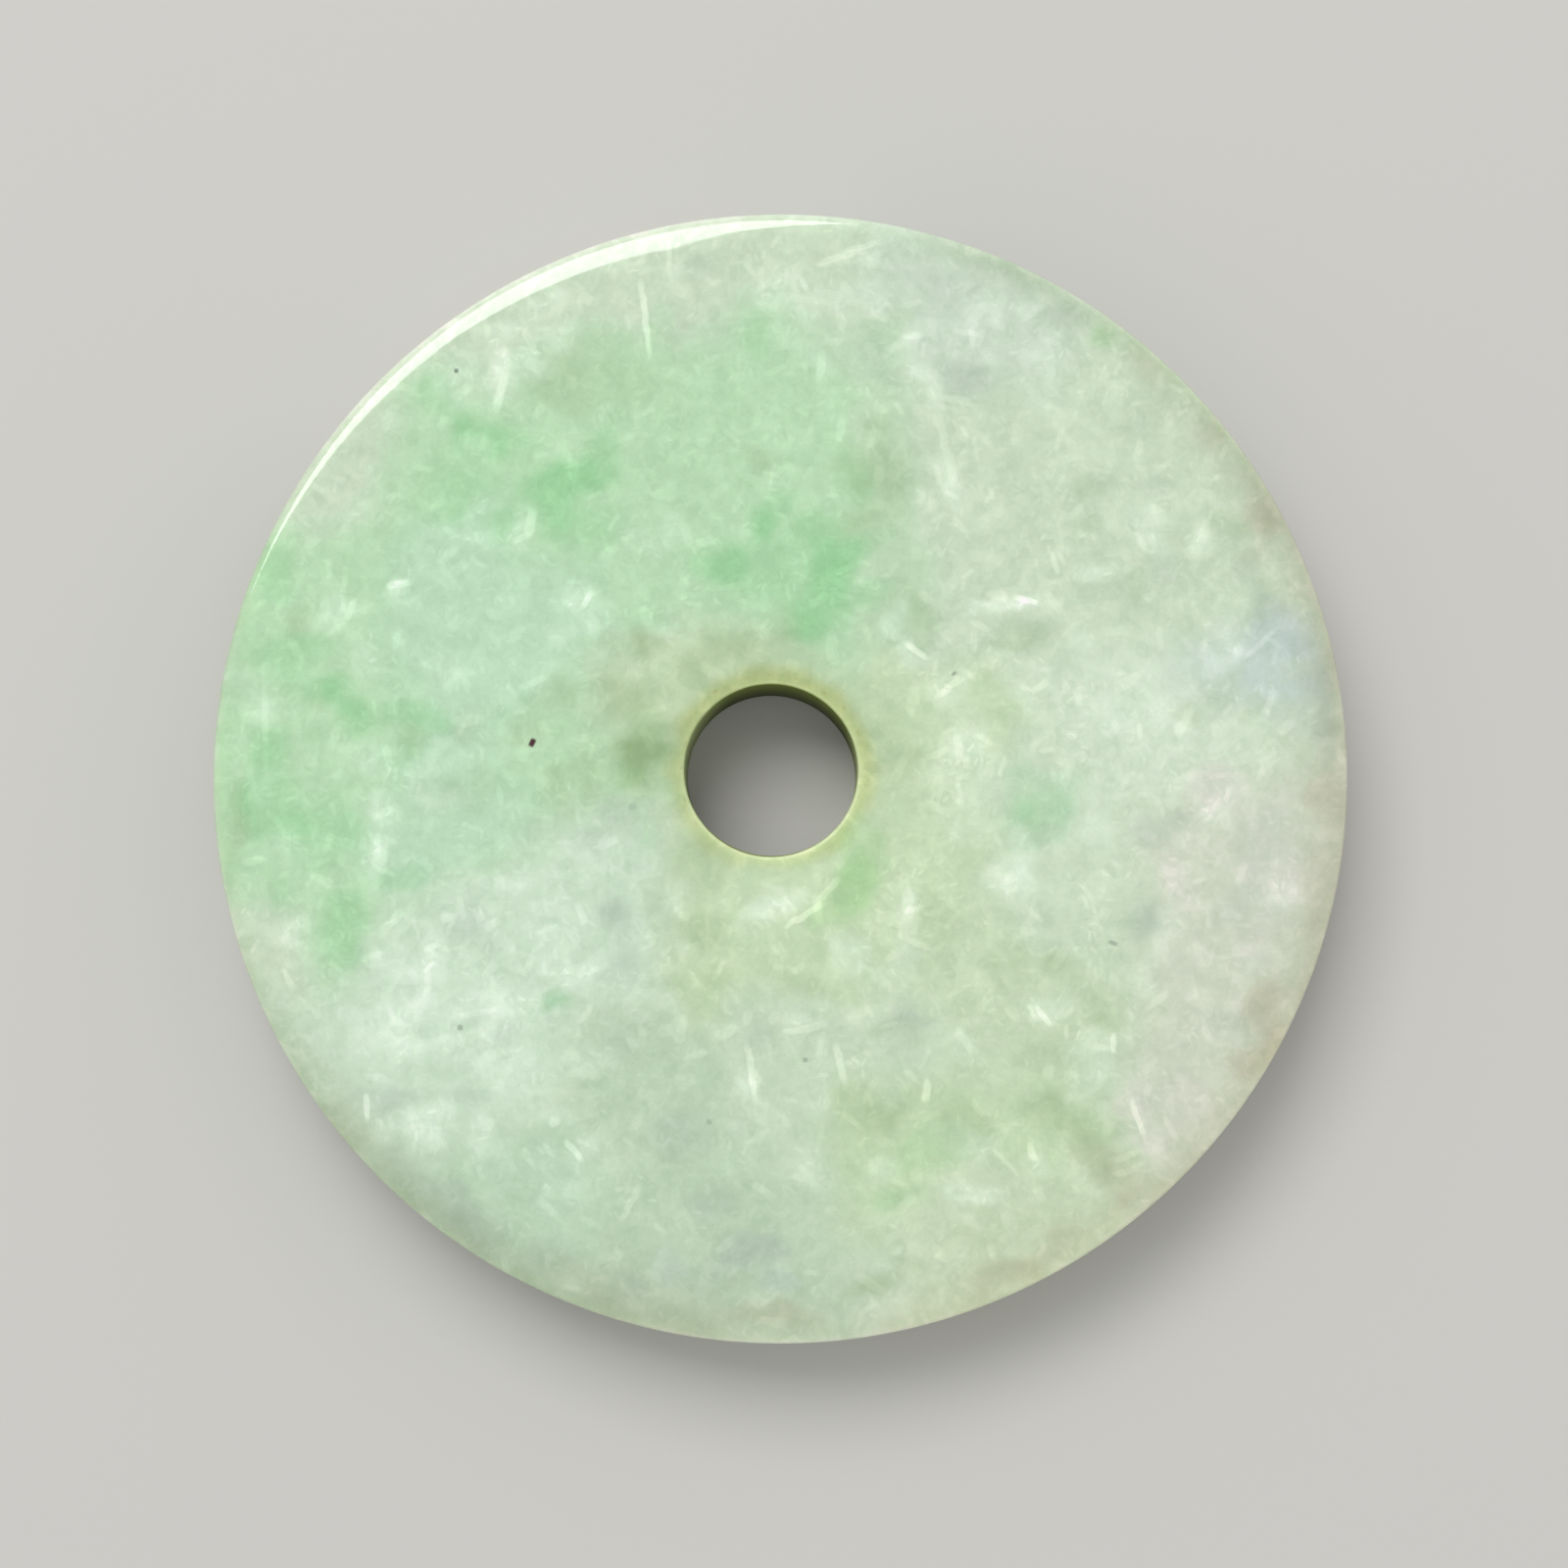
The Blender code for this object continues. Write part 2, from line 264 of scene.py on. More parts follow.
        (14.8, 17.0, 0.8, 0.8, 0, 0.35), (15.4, 13.6, 1.4, 1.0, -10, 0.22), (16.1, 10.8, 1.5, 1.3, 0, 0.30),
        (18.6, 10.0, 0.9, 0.9, 0, 0.35), (10.0, 7.6, 1.9, 0.6, -5, 0.55), (7.3, 3.5, 1.2, 0.8, 35, 0.45),
        (7.7, 1.0, 0.8, 1.2, 0, 0.40), (6.1, 5.3, 0.9, 0.7, -35, 0.35), (15.8, 3.0, 2.2, 1.8, 0, 0.30),
        (19.6, 5.4, 1.8, 1.4, 0, 0.25), (10.3, -3.8, 1.3, 1.4, 0, 0.60), (12.5, -5.5, 2.5, 1.5, 0, 0.15),
        (5.5, -5.9, 0.7, 1.0, 0, 0.50), (5.6, -8.0, 1.0, 1.8, 0, 0.25), (-0.3, -6.3, 2.0, 0.8, 5, 0.60),
        (1.2, -11.3, 1.2, 0.5, 10, 0.40), (-1.2, -14.0, 0.9, 0.9, 0, 0.40),
        (12.0, -10.5, 1.2, 0.7, 0, 0.40), (13.4, -13.0, 1.6, 1.4, 20, 0.30),
        (8.4, -12.1, 1.2, 0.7, -40, 0.25), (8.4, -18.4, 1.2, 0.7, 0, 0.45),
        (11.2, -16.9, 0.8, 0.6, 0, 0.30), (4.5, -17.7, 1.0, 0.6, 0, 0.40), (1.2, -17.5, 0.6, 1.4, 0, 0.30),
        (16.0, -9.0, 0.8, 1.4, 10, 0.25), (-15.6, -9.0, 1.2, 0.9, 0, 0.50),
        (-16.4, -11.3, 2.0, 1.4, 10, 0.45), (-13.0, -9.8, 2.2, 1.5, 0, 0.35),
        (-12.3, -12.6, 2.4, 1.7, 0, 0.35), (-15.3, -15.5, 1.5, 0.9, 0, 0.50),
        (-10.2, -7.0, 1.2, 1.8, 0, 0.30), (-12.1, -5.3, 1.1, 0.7, -20, 0.30),
        (-18.0, -10.6, 1.0, 1.4, 0, 0.12), (-21.7, -7.2, 1.3, 0.8, 0, 0.55),
        (-8.7, -9.1, 1.3, 0.8, 0, 0.35), (-9.9, -15.5, 0.7, 0.7, 0, 0.40),
        (-8.8, -16.6, 0.8, 0.7, -50, 0.35), (-19.4, 7.4, 1.3, 1.1, 0, 0.40),
        (-18.2, 5.0, 0.9, 1.5, 15, 0.30), (-17.6, -2.9, 0.8, 2.2, -8, 0.50),
        (-18.0, 0.4, 2.0, 0.9, -10, 0.35), (-14.9, 0.4, 1.4, 0.7, 25, 0.30),
        (-16.6, 8.3, 0.8, 0.5, 0, 0.45), (-8.8, 7.1, 1.2, 1.0, 30, 0.40), (-15.0, 4.2, 1.3, 1.8, -20, 0.25),
        (-11.3, 11.0, 0.8, 1.2, -10, 0.25), (-6.6, 9.6, 1.7, 1.3, 0, 0.12),
        (-4.8, 11.0, 1.2, 1.2, 40, 0.25), (-23.0, 2.9, 0.7, 1.2, 0, 0.30), (8.6, -16.0, 1.5, 1.0, 0, 0.35),
        (-15.0, -1.0, 0.9, 0.8, 0, 0.45), (-7.8, -12.6, 1.1, 1.0, 0, 0.35), (19.3, -2.4, 1.0, 0.9, 0, 0.35),
        (17.0, -7.6, 0.8, 1.8, 0, 0.35), (3.1, -8.0, 1.0, 0.9, 0, 0.40), (-10.2, 6.2, 1.0, 0.9, 0, 0.40),
        (5.5, 6.8, 0.8, 0.9, 0, 0.40), (4.6, -14.4, 1.0, 0.8, 0, 0.30), (-10.7, 17.8, 0.9, 0.8, 0, 0.35),
        (13.0, -17.0, 1.0, 0.8, 0, 0.30), (7.8, -0.6, 1.9, 3.2, 8, 0.30), (-9.5, 19.2, 1.2, 0.9, 0, 0.35),
        (0.9, 18.9, 1.0, 0.8, 0, 0.40), (-15.6, -12.5, 1.0, 0.8, 0, 0.40),
        (-15.4, -16.1, 1.1, 0.8, 0, 0.55), (-12.8, -15.9, 1.0, 0.7, 0, 0.35),
        (13.7, 8.6, 1.1, 0.9, 0, 0.40), (-0.4, -7.0, 1.6, 0.7, 0, 0.35), (-11.8, 17.6, 1.1, 0.9, 0, 0.50),
        (-14.0, 17.8, 0.9, 0.8, 0, 0.30), (-22.4, -0.9, 0.9, 1.0, 0, 0.30),
        (-20.7, -3.1, 1.1, 1.1, 0, 0.30), (14.2, 2.4, 1.2, 1.0, 0, 0.35), (-14.7, 16.7, 1.1, 1.0, 0, 0.30),
        (10.3, -5.0, 1.3, 1.6, 0, 0.38), (3.9, 21.2, 1.0, 0.8, 0, 0.35), (-4.8, 22.2, 0.9, 0.8, 0, 0.30),
        (-17.0, -8.9, 1.0, 0.9, 0, 0.35), (7.4, -18.8, 1.0, 0.7, 0, 0.35), (12.8, 5.7, 1.1, 0.8, 0, 0.35),
        (8.8, 7.7, 1.1, 0.7, 0, 0.35), (22.1, -5.9, 1.0, 1.0, 0, 0.35), (7.4, 2.6, 1.0, 0.9, 0, 0.30),
        (-5.8, 9.8, 1.0, 0.8, 0, 0.25), (10.4, 2.7, 1.0, 0.9, 0, 0.30), (7.3, 21.8, 0.9, 0.8, 0, 0.30),
        (-13.6, 14.7, 1.0, 0.7, 0, 0.25), (-11.9, 19.4, 0.9, 0.7, 0, 0.30),
        (-13.4, 11.8, 0.9, 0.8, 0, 0.25), (2.0, 18.3, 0.9, 0.8, 0, 0.30), (14.2, -2.3, 1.0, 0.8, 0, 0.30),
        (16.1, 9.4, 1.0, 0.8, 0, 0.30), (-5.6, 6.2, 0.9, 0.8, 0, 0.20), (-12.1, -16.6, 0.9, 0.7, 0, 0.30),
    )),
    (LAVENDER, 0.0, (
        (22.4, 4.4, 2.3, 3.2, 0, 0.46), (22.6, 6.0, 1.8, 1.5, 0, 0.18), (19.8, 5.0, 3.4, 2.6, 0, 0.26),
        (-4.4, -21.5, 0.9, 1.0, 0, 0.21), (-0.2, -22.3, 1.4, 0.9, 0, 0.28),
    )),
    (ROSE, 0.3, (
        (19.0, -1.3, 1.6, 1.2, -30, 0.50), (17.5, -4.6, 0.8, 1.6, 0, 0.45),
        (15.7, -14.5, 1.0, 0.9, 0, 0.50), (16.2, -16.3, 1.0, 1.2, 0, 0.35),
        (18.0, -15.2, 1.4, 1.6, 0, 0.30), (20.8, -7.8, 1.0, 1.2, 0, 0.20), (22.5, -5.0, 1.2, 1.4, 0, 0.20),
        (21.4, -4.2, 1.6, 3.6, 0, 0.24),
    )),
    (RUST, -0.3, (
        (16.6, 18.0, 1.2, 0.6, -45, 0.24), (19.0, 15.0, 1.4, 1.0, -55, 0.21),
        (21.4, 11.3, 1.2, 1.4, 25, 0.48), (21.5, 9.4, 1.2, 0.8, 0, 0.21), (21.3, -10.6, 1.3, 1.0, 60, 0.45),
        (20.8, -12.6, 1.6, 1.0, 58, 0.48), (23.9, -1.0, 1.0, 2.0, 0, 0.32),
        (23.3, -5.0, 0.9, 2.5, -12, 0.18), (10.0, -22.0, 2.4, 0.8, 24, 0.39),
        (12.4, -20.4, 1.5, 1.1, 30, 0.30), (15.0, -18.6, 1.6, 1.0, 40, 0.36),
        (14.0, -17.0, 1.6, 1.2, -30, 0.21), (0.0, -24.0, 2.6, 0.7, 0, 0.36),
        (-8.8, -22.4, 2.0, 0.8, -22, 0.18),
    )),
)

# Dark inclusions: the same six numbers
MAROON_SPECKS = ((-10.92, 1.22, 0.16, 0.24, -25, 1.0),)
GREY_SPECKS = (
    (-14.4, 17.8, 0.13, 0.13, 0, 0.80), (-14.0, -11.3, 0.16, 0.16, 0, 0.45),
    (-6.5, -1.6, 0.22, 0.20, 0, 0.18), (7.67, 4.27, 0.16, 0.10, 35, 0.55),
    (14.6, -7.6, 0.26, 0.12, -20, 0.40), (1.1, -12.7, 0.14, 0.14, 0, 0.40),
    (-3.1, -15.4, 0.16, 0.16, 0, 0.30),
)
# Brown dots of old oil along the lip, above and at the left
BROWN_SPECKS = (
    (2.82, 2.75, 0.16, 0.10, 131, 0.25), (1.96, 3.41, 0.14, 0.09, 145, 0.28),
    (-0.55, 4.20, 0.18, 0.09, 2, 0.20), (-1.47, 4.10, 0.13, 0.08, 15, 0.22),
    (-2.27, 3.74, 0.15, 0.08, 27, 0.20), (-2.86, 3.48, 0.16, 0.10, 35, 0.28),
    (-4.18, 1.16, 0.18, 0.08, 73, 0.22), (3.42, 1.70, 0.15, 0.08, 114, 0.20),
    (0.70, 4.05, 0.13, 0.07, 165, 0.20), (-4.32, 0.10, 0.14, 0.08, 88, 0.20),
    (-4.20, -1.30, 0.15, 0.08, 108, 0.22), (-3.70, -2.35, 0.14, 0.08, 125, 0.20),
)
# Single crystals that stand out: x, y, half length, half width, heading in degrees, strength
LONG_CRYSTALS = (
    (-6.00, 20.1, 2.00, 0.17, 97, 0.80), (-12.4, 17.0, 1.10, 0.24, 78, 0.50),
    (-4.95, 22.9, 1.00, 0.14, 91, 0.40), (2.60, 22.9, 1.08, 0.19, 18, 0.46),
    (3.60, 23.4, 1.08, 0.18, 14, 0.40), (-11.07, 10.95, 0.80, 0.26, 76, 0.55),
    (-16.9, 8.25, 0.60, 0.22, 5, 0.57), (7.40, 14.2, 2.28, 0.27, 104, 0.32),
    (6.03, 5.30, 0.72, 0.18, -37, 0.92), (10.9, 7.53, 0.66, 0.18, -17, 0.98),
    (9.60, 7.75, 0.60, 0.30, -15, 0.52), (12.15, 9.2, 0.58, 0.14, 103, 0.57),
    (7.50, 3.70, 0.90, 0.19, 40, 0.68), (11.5, 3.70, 0.54, 0.19, 35, 0.46),
    (7.85, 1.00, 0.72, 0.23, 92, 0.40), (2.10, -5.3, 0.96, 0.18, 48, 0.57),
    (1.05, -6.4, 1.20, 0.18, 32, 0.80), (-1.25, -13.3, 1.50, 0.20, 98, 0.63),
    (1.30, -11.3, 0.90, 0.20, 12, 0.46), (2.60, -12.8, 1.08, 0.20, 103, 0.57),
    (6.40, -14.0, 0.58, 0.24, 86, 0.86), (11.5, -10.8, 0.66, 0.16, -52, 0.69),
    (14.6, -12.0, 0.55, 0.15, 88, 0.75), (11.0, -16.7, 0.55, 0.18, 105, 0.69),
    (12.5, -16.7, 0.96, 0.30, -60, 0.29), (15.6, -15.2, 1.02, 0.16, -70, 0.63),
    (9.80, -17.1, 0.96, 0.12, -45, 0.40), (8.10, -11.9, 0.84, 0.26, -55, 0.34),
    (-9.0, -16.65, 0.74, 0.19, -49, 0.92), (-9.87, -15.4, 0.29, 0.32, 0, 0.52),
    (-18.05, -14.8, 0.74, 0.15, 94, 0.92), (-6.50, -18.9, 1.02, 0.19, 64, 0.40),
    (21.2, 5.60, 1.20, 0.14, 44, 0.40), (21.6, 3.00, 0.72, 0.19, 66, 0.40),
    (-22.7, 2.30, 2.88, 0.18, 92, 0.29), (-8.50, 7.60, 0.50, 0.20, 55, 0.58),
    (-7.40, 11.0, 0.50, 0.14, 55, 0.40), (5.55, -5.70, 1.30, 0.34, 95, 0.36),
    (8.30, 8.70, 0.45, 0.14, 40, 0.42), (7.90, -1.10, 0.70, 0.16, 100, 0.38),
    (9.80, 0.20, 0.60, 0.14, 75, 0.34), (0.35, 7.90, 0.50, 0.11, 100, 0.30),
    (-0.40, 13.0, 0.60, 0.11, 75, 0.30),
)
# Crystals strewn over both faces, in layers in which no two come near each other: half lengths, half widths,
# the faintest's strength, and how much more the strongest's is
CRYSTAL_SEED = 12
CRYSTAL_TRIES = 1500
CRYSTAL_LAYERS = 4
STREWN_LENGTHS = (0.35, 0.85)
STREWN_WIDTHS = (0.14, 0.32)
STREWN_FAINTEST = 0.05
STREWN_MORE = 0.33
# How far past its edge a mark's places are written, and how far down the sides it still shows
MARK_MARGIN = 0.36
MARK_DEPTH = 0.4
# The stone's grain, by layer: size of a grain, half length and half width of the lath that it may hold, the
# tone of the strongest lath, the share of the grains with no lath, and how much the grains differ in tone
GRAINS = (
    (1.50, 0.62, 0.18, 4.2, 0.50, 1.6), (0.95, 0.42, 0.14, 4.2, 0.35, 2.4),
    (0.55, 0.26, 0.09, 4.0, 0.25, 3.2),
)
# How far noise pushes the sides of grains and laths, in millimetres
GRAIN_RAGGED = 0.14
# The even noise under the grains: its widest size, how strong each octave is beside the one before, its tone
# from end to end, and what brings the sum to 0
NOISE_SIZE = 1.0
NOISE_ROUGHNESS = 0.83
NOISE_TONE = 17.0
GRAIN_LEVEL = -11.85
# Noise of this size makes the grains stand out between these shares of their tone. Its own value runs from
# about the low one to the high one.
FELT_NOISE_SIZE = 1.9
FELT_THIN = 0.6
FELT_THICK = 1.25
NOISE_LOW = 0.32
NOISE_HIGH = 0.68
# What a full crystal adds to the tone, and the share of its half sizes to which it and each speck is solid
CRYSTAL_TONE = 12.5
CRYSTAL_SOLID = 0.5
MAROON_SOLID = 0.4
SPECK_SOLID = 0.2
# Noise that makes the sides of a drawn crystal ragged: its size in millimetres, and its push along and across
# as shares of the crystal
MARK_NOISE_SIZE = 0.6
MARK_NOISE_PUSH = (0.6, 1.3, 0.0)

# The polish: roughness of the faces and of the hole's wall, and how bright a clean reflection is
FACE_ROUGHNESS = 0.04
WALL_ROUGHNESS = 0.7
JADE_IOR = 1.66
# How far out from the hole the matt finish fades, and how near its wall the olive ends, which is partly
# stain and partly painted shade
MATT_FADE = (0.06, 0.20)
WALL_EDGE = 0.05
# The hole's wall darkens with painted shade from this far under the front face downwards
WALL_LIT = 1.0
# How far light sinks into the stone, in millimetres, and each colour's share of that
LIGHT_DEPTH = 1.2
LIGHT_SHARES = (0.75, 1.0, 0.7)

# The noise repeats after this many of its nodes, and each pattern draws its own
LATTICE_NODES = 32
EDGE_SEED_X = 20
EDGE_SEED_Y = 40
CLOUD_SEED = 60
OIL_SEED = 70
RIM_SEED = 80


def srgb(hex_colour):
    """The three shares of an sRGB hex colour."""
    return np.array([int(hex_colour[i:i + 2], 16) / 255 for i in (1, 3, 5)])


def to_linear(colours):
    """sRGB shares as linear light."""
    colours = np.asarray(colours)
    return np.where(colours <= 0.04045, colours / 12.92, ((colours + 0.055) / 1.055) ** 2.4)


def linear(hex_colour):
    """One sRGB hex colour as linear red, green, blue and alpha."""
    return (*to_linear(srgb(hex_colour)).tolist(), 1.0)


def smooth(share):
    """Eases a share from 0 to 1 in and out."""
    share = np.clip(share, 0, 1)
    return share * share * (3 - 2 * share)


def lattice_noise(points, size, seed):
    """Random values from -1 to 1 at lattice nodes, the given size apart, blended smoothly between them."""
    values = np.random.default_rng(seed).uniform(-1, 1, (LATTICE_NODES,) * 3)
    cell = points / size
    low = np.floor(cell).astype(int)
    part = smooth(cell - low)
    total = np.zeros(points.shape[:-1])
    for corner in np.ndindex(2, 2, 2):
        weight = np.where(corner, part, 1 - part).prod(-1)
        total += weight * values[tuple(np.moveaxis((low + corner) % LATTICE_NODES, -1, 0))]
    return total


def depth_inside(place, outline):
    """How deep each place lies inside a closed outline, in millimetres, and negative outside it.

    On each side of the outline the nearest point is where the place falls on it, held between its ends. A
    place is inside when a line from it towards +X crosses the outline an odd number of times.
    """
    corners = np.array(outline, float)
    nearest = np.full(place.shape[:-1], np.inf)
    inside = np.zeros(place.shape[:-1], bool)
    for start, end in zip(corners, np.roll(corners, -1, 0)):
        side = end - start
        way = place - start
        share = np.clip(way @ side / (side @ side), 0, 1)
        nearest = np.minimum(nearest, np.linalg.norm(way - share[..., None] * side, axis=-1))
        spans = (start[1] > place[..., 1]) != (end[1] > place[..., 1])
        rise = side[1] if side[1] else 1.0
        inside ^= spans & (place[..., 0] < start[0] + side[0] * way[..., 1] / rise)
    return np.where(inside, nearest, -nearest)


def cloud_share(place, cloud):
    """How strongly a soft ellipse colours each place: full in its middle, nothing a fifth past its edge."""
    x, y, half_width, half_height, heading, strength = cloud
    turn = math.radians(heading)
    way = place - (x, y)
    along = way @ (math.cos(turn), math.sin(turn)) / half_width
    across = way @ (-math.sin(turn), math.cos(turn)) / half_height
    return strength * smooth(1.3 - 1.1 * np.hypot(along, across))


def oil_share(points):
    """How much oil from the cord has soaked in: most at the lip, none past its reach, less at the bottom.

    The stain's edge goes in and out with noise. Down the hole's wall it is full.
    """
    way = points[..., :2] - HOLE_CENTRE
    far = np.hypot(way[..., 0], way[..., 1])
    size, stray = OIL_NOISE
    reach = OIL_REACH * (1 + stray * lattice_noise(points, size, OIL_SEED))
    round_it = OIL_MEAN + OIL_TILT * way[..., 1] / far
    return round_it * smooth((HOLE_RADIUS + reach - far) / (0.8 * OIL_REACH))


def rim_share(points, middle, half_span, strength, reach):
    """How strongly a tint shows along the rim: full near its heading, and fading inwards from the edge."""
    x, y = points[..., 0], points[..., 1]
    inwards = np.maximum(RADIUS - np.hypot(x, y), 0)
    off = (np.degrees(np.arctan2(y, x)) - middle + 180) % 360 - 180
    along = smooth(1.5 - np.abs(off) / half_span)
    size, stray = RIM_NOISE
    return strength * along * np.exp(-inwards / reach) * (1 + stray * lattice_noise(points, size, RIM_SEED))


def stone_colour(points):
    """Colour of the stone at each point, as linear light, and how thick its felt of crystals is there.

    A point is moved sideways by its depth and by noise of three sizes, so that the bodies slant through the
    stone and have ragged edges. There it takes its field's colour and then each cloud's. The cord's oil, the
    lip's edge painted lighter as a painted highlight, and the rim's tints, which are stains with painted
    shade and a painted highlight along the edge, go over that, unmoved.
    """
    depth = (THICKNESS - points[..., 2:]) * SLANT
    ragged = np.zeros(points.shape[:-1] + (2,))
    for number, (size, reach) in enumerate(EDGE_NOISE):
        ragged[..., 0] += reach * lattice_noise(points, size, EDGE_SEED_X + number)
        ragged[..., 1] += reach * lattice_noise(points, size, EDGE_SEED_Y + number)
    place = points[..., :2] + depth + ragged
    patch_size, patch_height = CLOUD_NOISE
    patchy = CLOUD_SHARE + patch_height * lattice_noise(points, patch_size, CLOUD_SEED)
    colour = np.broadcast_to(srgb(GROUND), points.shape).copy()
    for field_colour, edge, outline in FIELDS:
        share = FIELD_SHARE * smooth(0.5 + depth_inside(place, outline) / (2.0 * edge))[..., None]
        colour += share * (srgb(field_colour) - colour)
    felt = np.ones(points.shape[:-1])
    for cloud_colour, more_felt, clouds in CLOUDS:
        for cloud in clouds:
            share = np.clip(cloud_share(place, cloud) * patchy, 0, 1)
            colour += share[..., None] * (srgb(cloud_colour) - colour)
            felt += share * more_felt
    colour *= 1 - oil_share(points)[..., None] * OIL_TAKES
    # Painted highlight: the lip's thin edge is painted lighter, where light catches it
    from_hole = np.hypot(*np.moveaxis(points[..., :2] - HOLE_CENTRE, -1, 0))
    shine = smooth((HOLE_RADIUS + LIP_SHINE_REACH - from_hole) / LIP_SHINE_FADE)
    colour *= 1 + LIP_SHINES * shine[..., None]
    # Rim tints: stains, with painted shade and a painted highlight along the edge
    for tint, *arc in RIM_TINTS:
        share = rim_share(points, *arc)[..., None]
        colour += share * (srgb(tint) - colour)
    return np.concatenate([to_linear(colour), np.clip(felt, *FELT_RANGE)[..., None]], -1)


def sorted_crystals():
    """Listed crystals and strewn ones, each with its layer.

    A crystal goes into the first layer in which it keeps clear of all the others, and is left out where
    there is none. Strewn ones are random in place, size and heading, and faint ones are the most common.
    """
    draw = np.random.default_rng(CRYSTAL_SEED)
    out = RADIUS * np.sqrt(draw.uniform(0, 1, CRYSTAL_TRIES))
    turn = draw.uniform(0, 2 * np.pi, CRYSTAL_TRIES)
    strewn = np.stack([
        out * np.cos(turn),
        out * np.sin(turn),
        draw.uniform(*STREWN_LENGTHS, CRYSTAL_TRIES),
        draw.uniform(*STREWN_WIDTHS, CRYSTAL_TRIES),
        draw.uniform(0, 180, CRYSTAL_TRIES),
        STREWN_FAINTEST + STREWN_MORE * draw.uniform(0, 1, CRYSTAL_TRIES) ** 2.5,
    ], -1)
    crystals = np.concatenate([np.array(LONG_CRYSTALS), strewn])
    layers = np.full(len(crystals), -1)
    for number, (x, y, half_length) in enumerate(crystals[:, :3]):
        others = crystals[:number]
        gap = np.hypot(others[:, 0] - x, others[:, 1] - y) - others[:, 2] - half_length
        crowded = layers[:number][gap < 2 * MARK_MARGIN]
        free = np.setdiff1d(np.arange(CRYSTAL_LAYERS), crowded)
        layers[number] = free[0] if len(free) else -1
    return crystals, layers


def mark_places(points, marks):
    """For each point, its place along and across the mark it lies near, over the half sizes, and a strength.

    The places are straight functions of position, so they stay true between the mesh's corners and a mark
    can be much finer than the mesh. The strength is the mark's a little way past its edge and nothing
    further out. It is nothing on the disc's sides, and the back has the marks turned over.
    """
    x, y, z = points.reshape(-1, 3).T
    place = np.stack([np.where(z > THICKNESS / 2, x, -x), y], -1)
    on_face = np.minimum(z, THICKNESS - z) < MARK_DEPTH
    order = np.argsort(place[:, 0])
    sorted_x = place[order, 0]
    places = np.full((len(x), 3), (4.0, 4.0, 0.0))
    for middle_x, middle_y, half_length, half_width, heading, strength in marks:
        reach = half_length + half_width + 2 * MARK_MARGIN
        first, last = np.searchsorted(sorted_x, (middle_x - reach, middle_x + reach))
        near = order[first:last]
        turn = math.radians(heading)
        way = place[near] - (middle_x, middle_y)
        along = way @ (math.cos(turn), math.sin(turn))
        across = way @ (-math.sin(turn), math.cos(turn))
        gap = np.maximum(np.abs(along) - half_length, np.abs(across) - half_width)
        shown = np.where((gap < MARK_MARGIN) & on_face[near], strength, 0.0)
        found = np.stack([along / half_length, across / half_width, shown], -1)
        places[near[gap < 2 * MARK_MARGIN]] = found[gap < 2 * MARK_MARGIN]
    return places


def add_node(tree, kind, inputs=None, **settings):
    """Adds one node with its settings. An input that is a socket is linked, and any other is set."""
    node = tree.nodes.new(kind)
    for name, value in settings.items():
        setattr(node, name, value)
    for key, value in (inputs or {}).items():
        if isinstance(value, bpy.types.NodeSocket):
            tree.links.new(value, node.inputs[key])
        else:
            node.inputs[key].default_value = value
    return node


def mark_mask(tree, layer, solid, ragged):
    """How strongly a layer's marks show: solid to a share of their half sizes, then fading to their edge.

    The layer holds a point's place along and across its mark, over the half sizes, and the mark's strength.
    Noise moves the place, which makes a mark's sides ragged.
    """
    place = add_node(tree, "ShaderNodeAttribute", attribute_name=layer).outputs["Vector"]
    strength = add_node(tree, "ShaderNodeSeparateXYZ", {0: place}).outputs["Z"]
    flat = add_node(
        tree, "ShaderNodeVectorMath", {0: place, 1: (1.0, 1.0, 0.0)}, operation="MULTIPLY"
    ).outputs[0]
    moved = add_node(tree, "ShaderNodeVectorMath", {0: flat, 1: ragged}, operation="ADD").outputs[0]
    squares = add_node(tree, "ShaderNodeVectorMath", {0: moved, 1: moved}, operation="MULTIPLY").outputs[0]
    far = add_node(tree, "ShaderNodeVectorMath", {0: squares}, operation="LENGTH").outputs["Value"]
    return add_node(
        tree, "ShaderNodeMapRange",
        {"Value": far, "From Min": 1.0, "From Max": solid * solid, "To Min": 0.0, "To Max": strength},
        interpolation_type="SMOOTHSTEP",
    ).outputs[0]


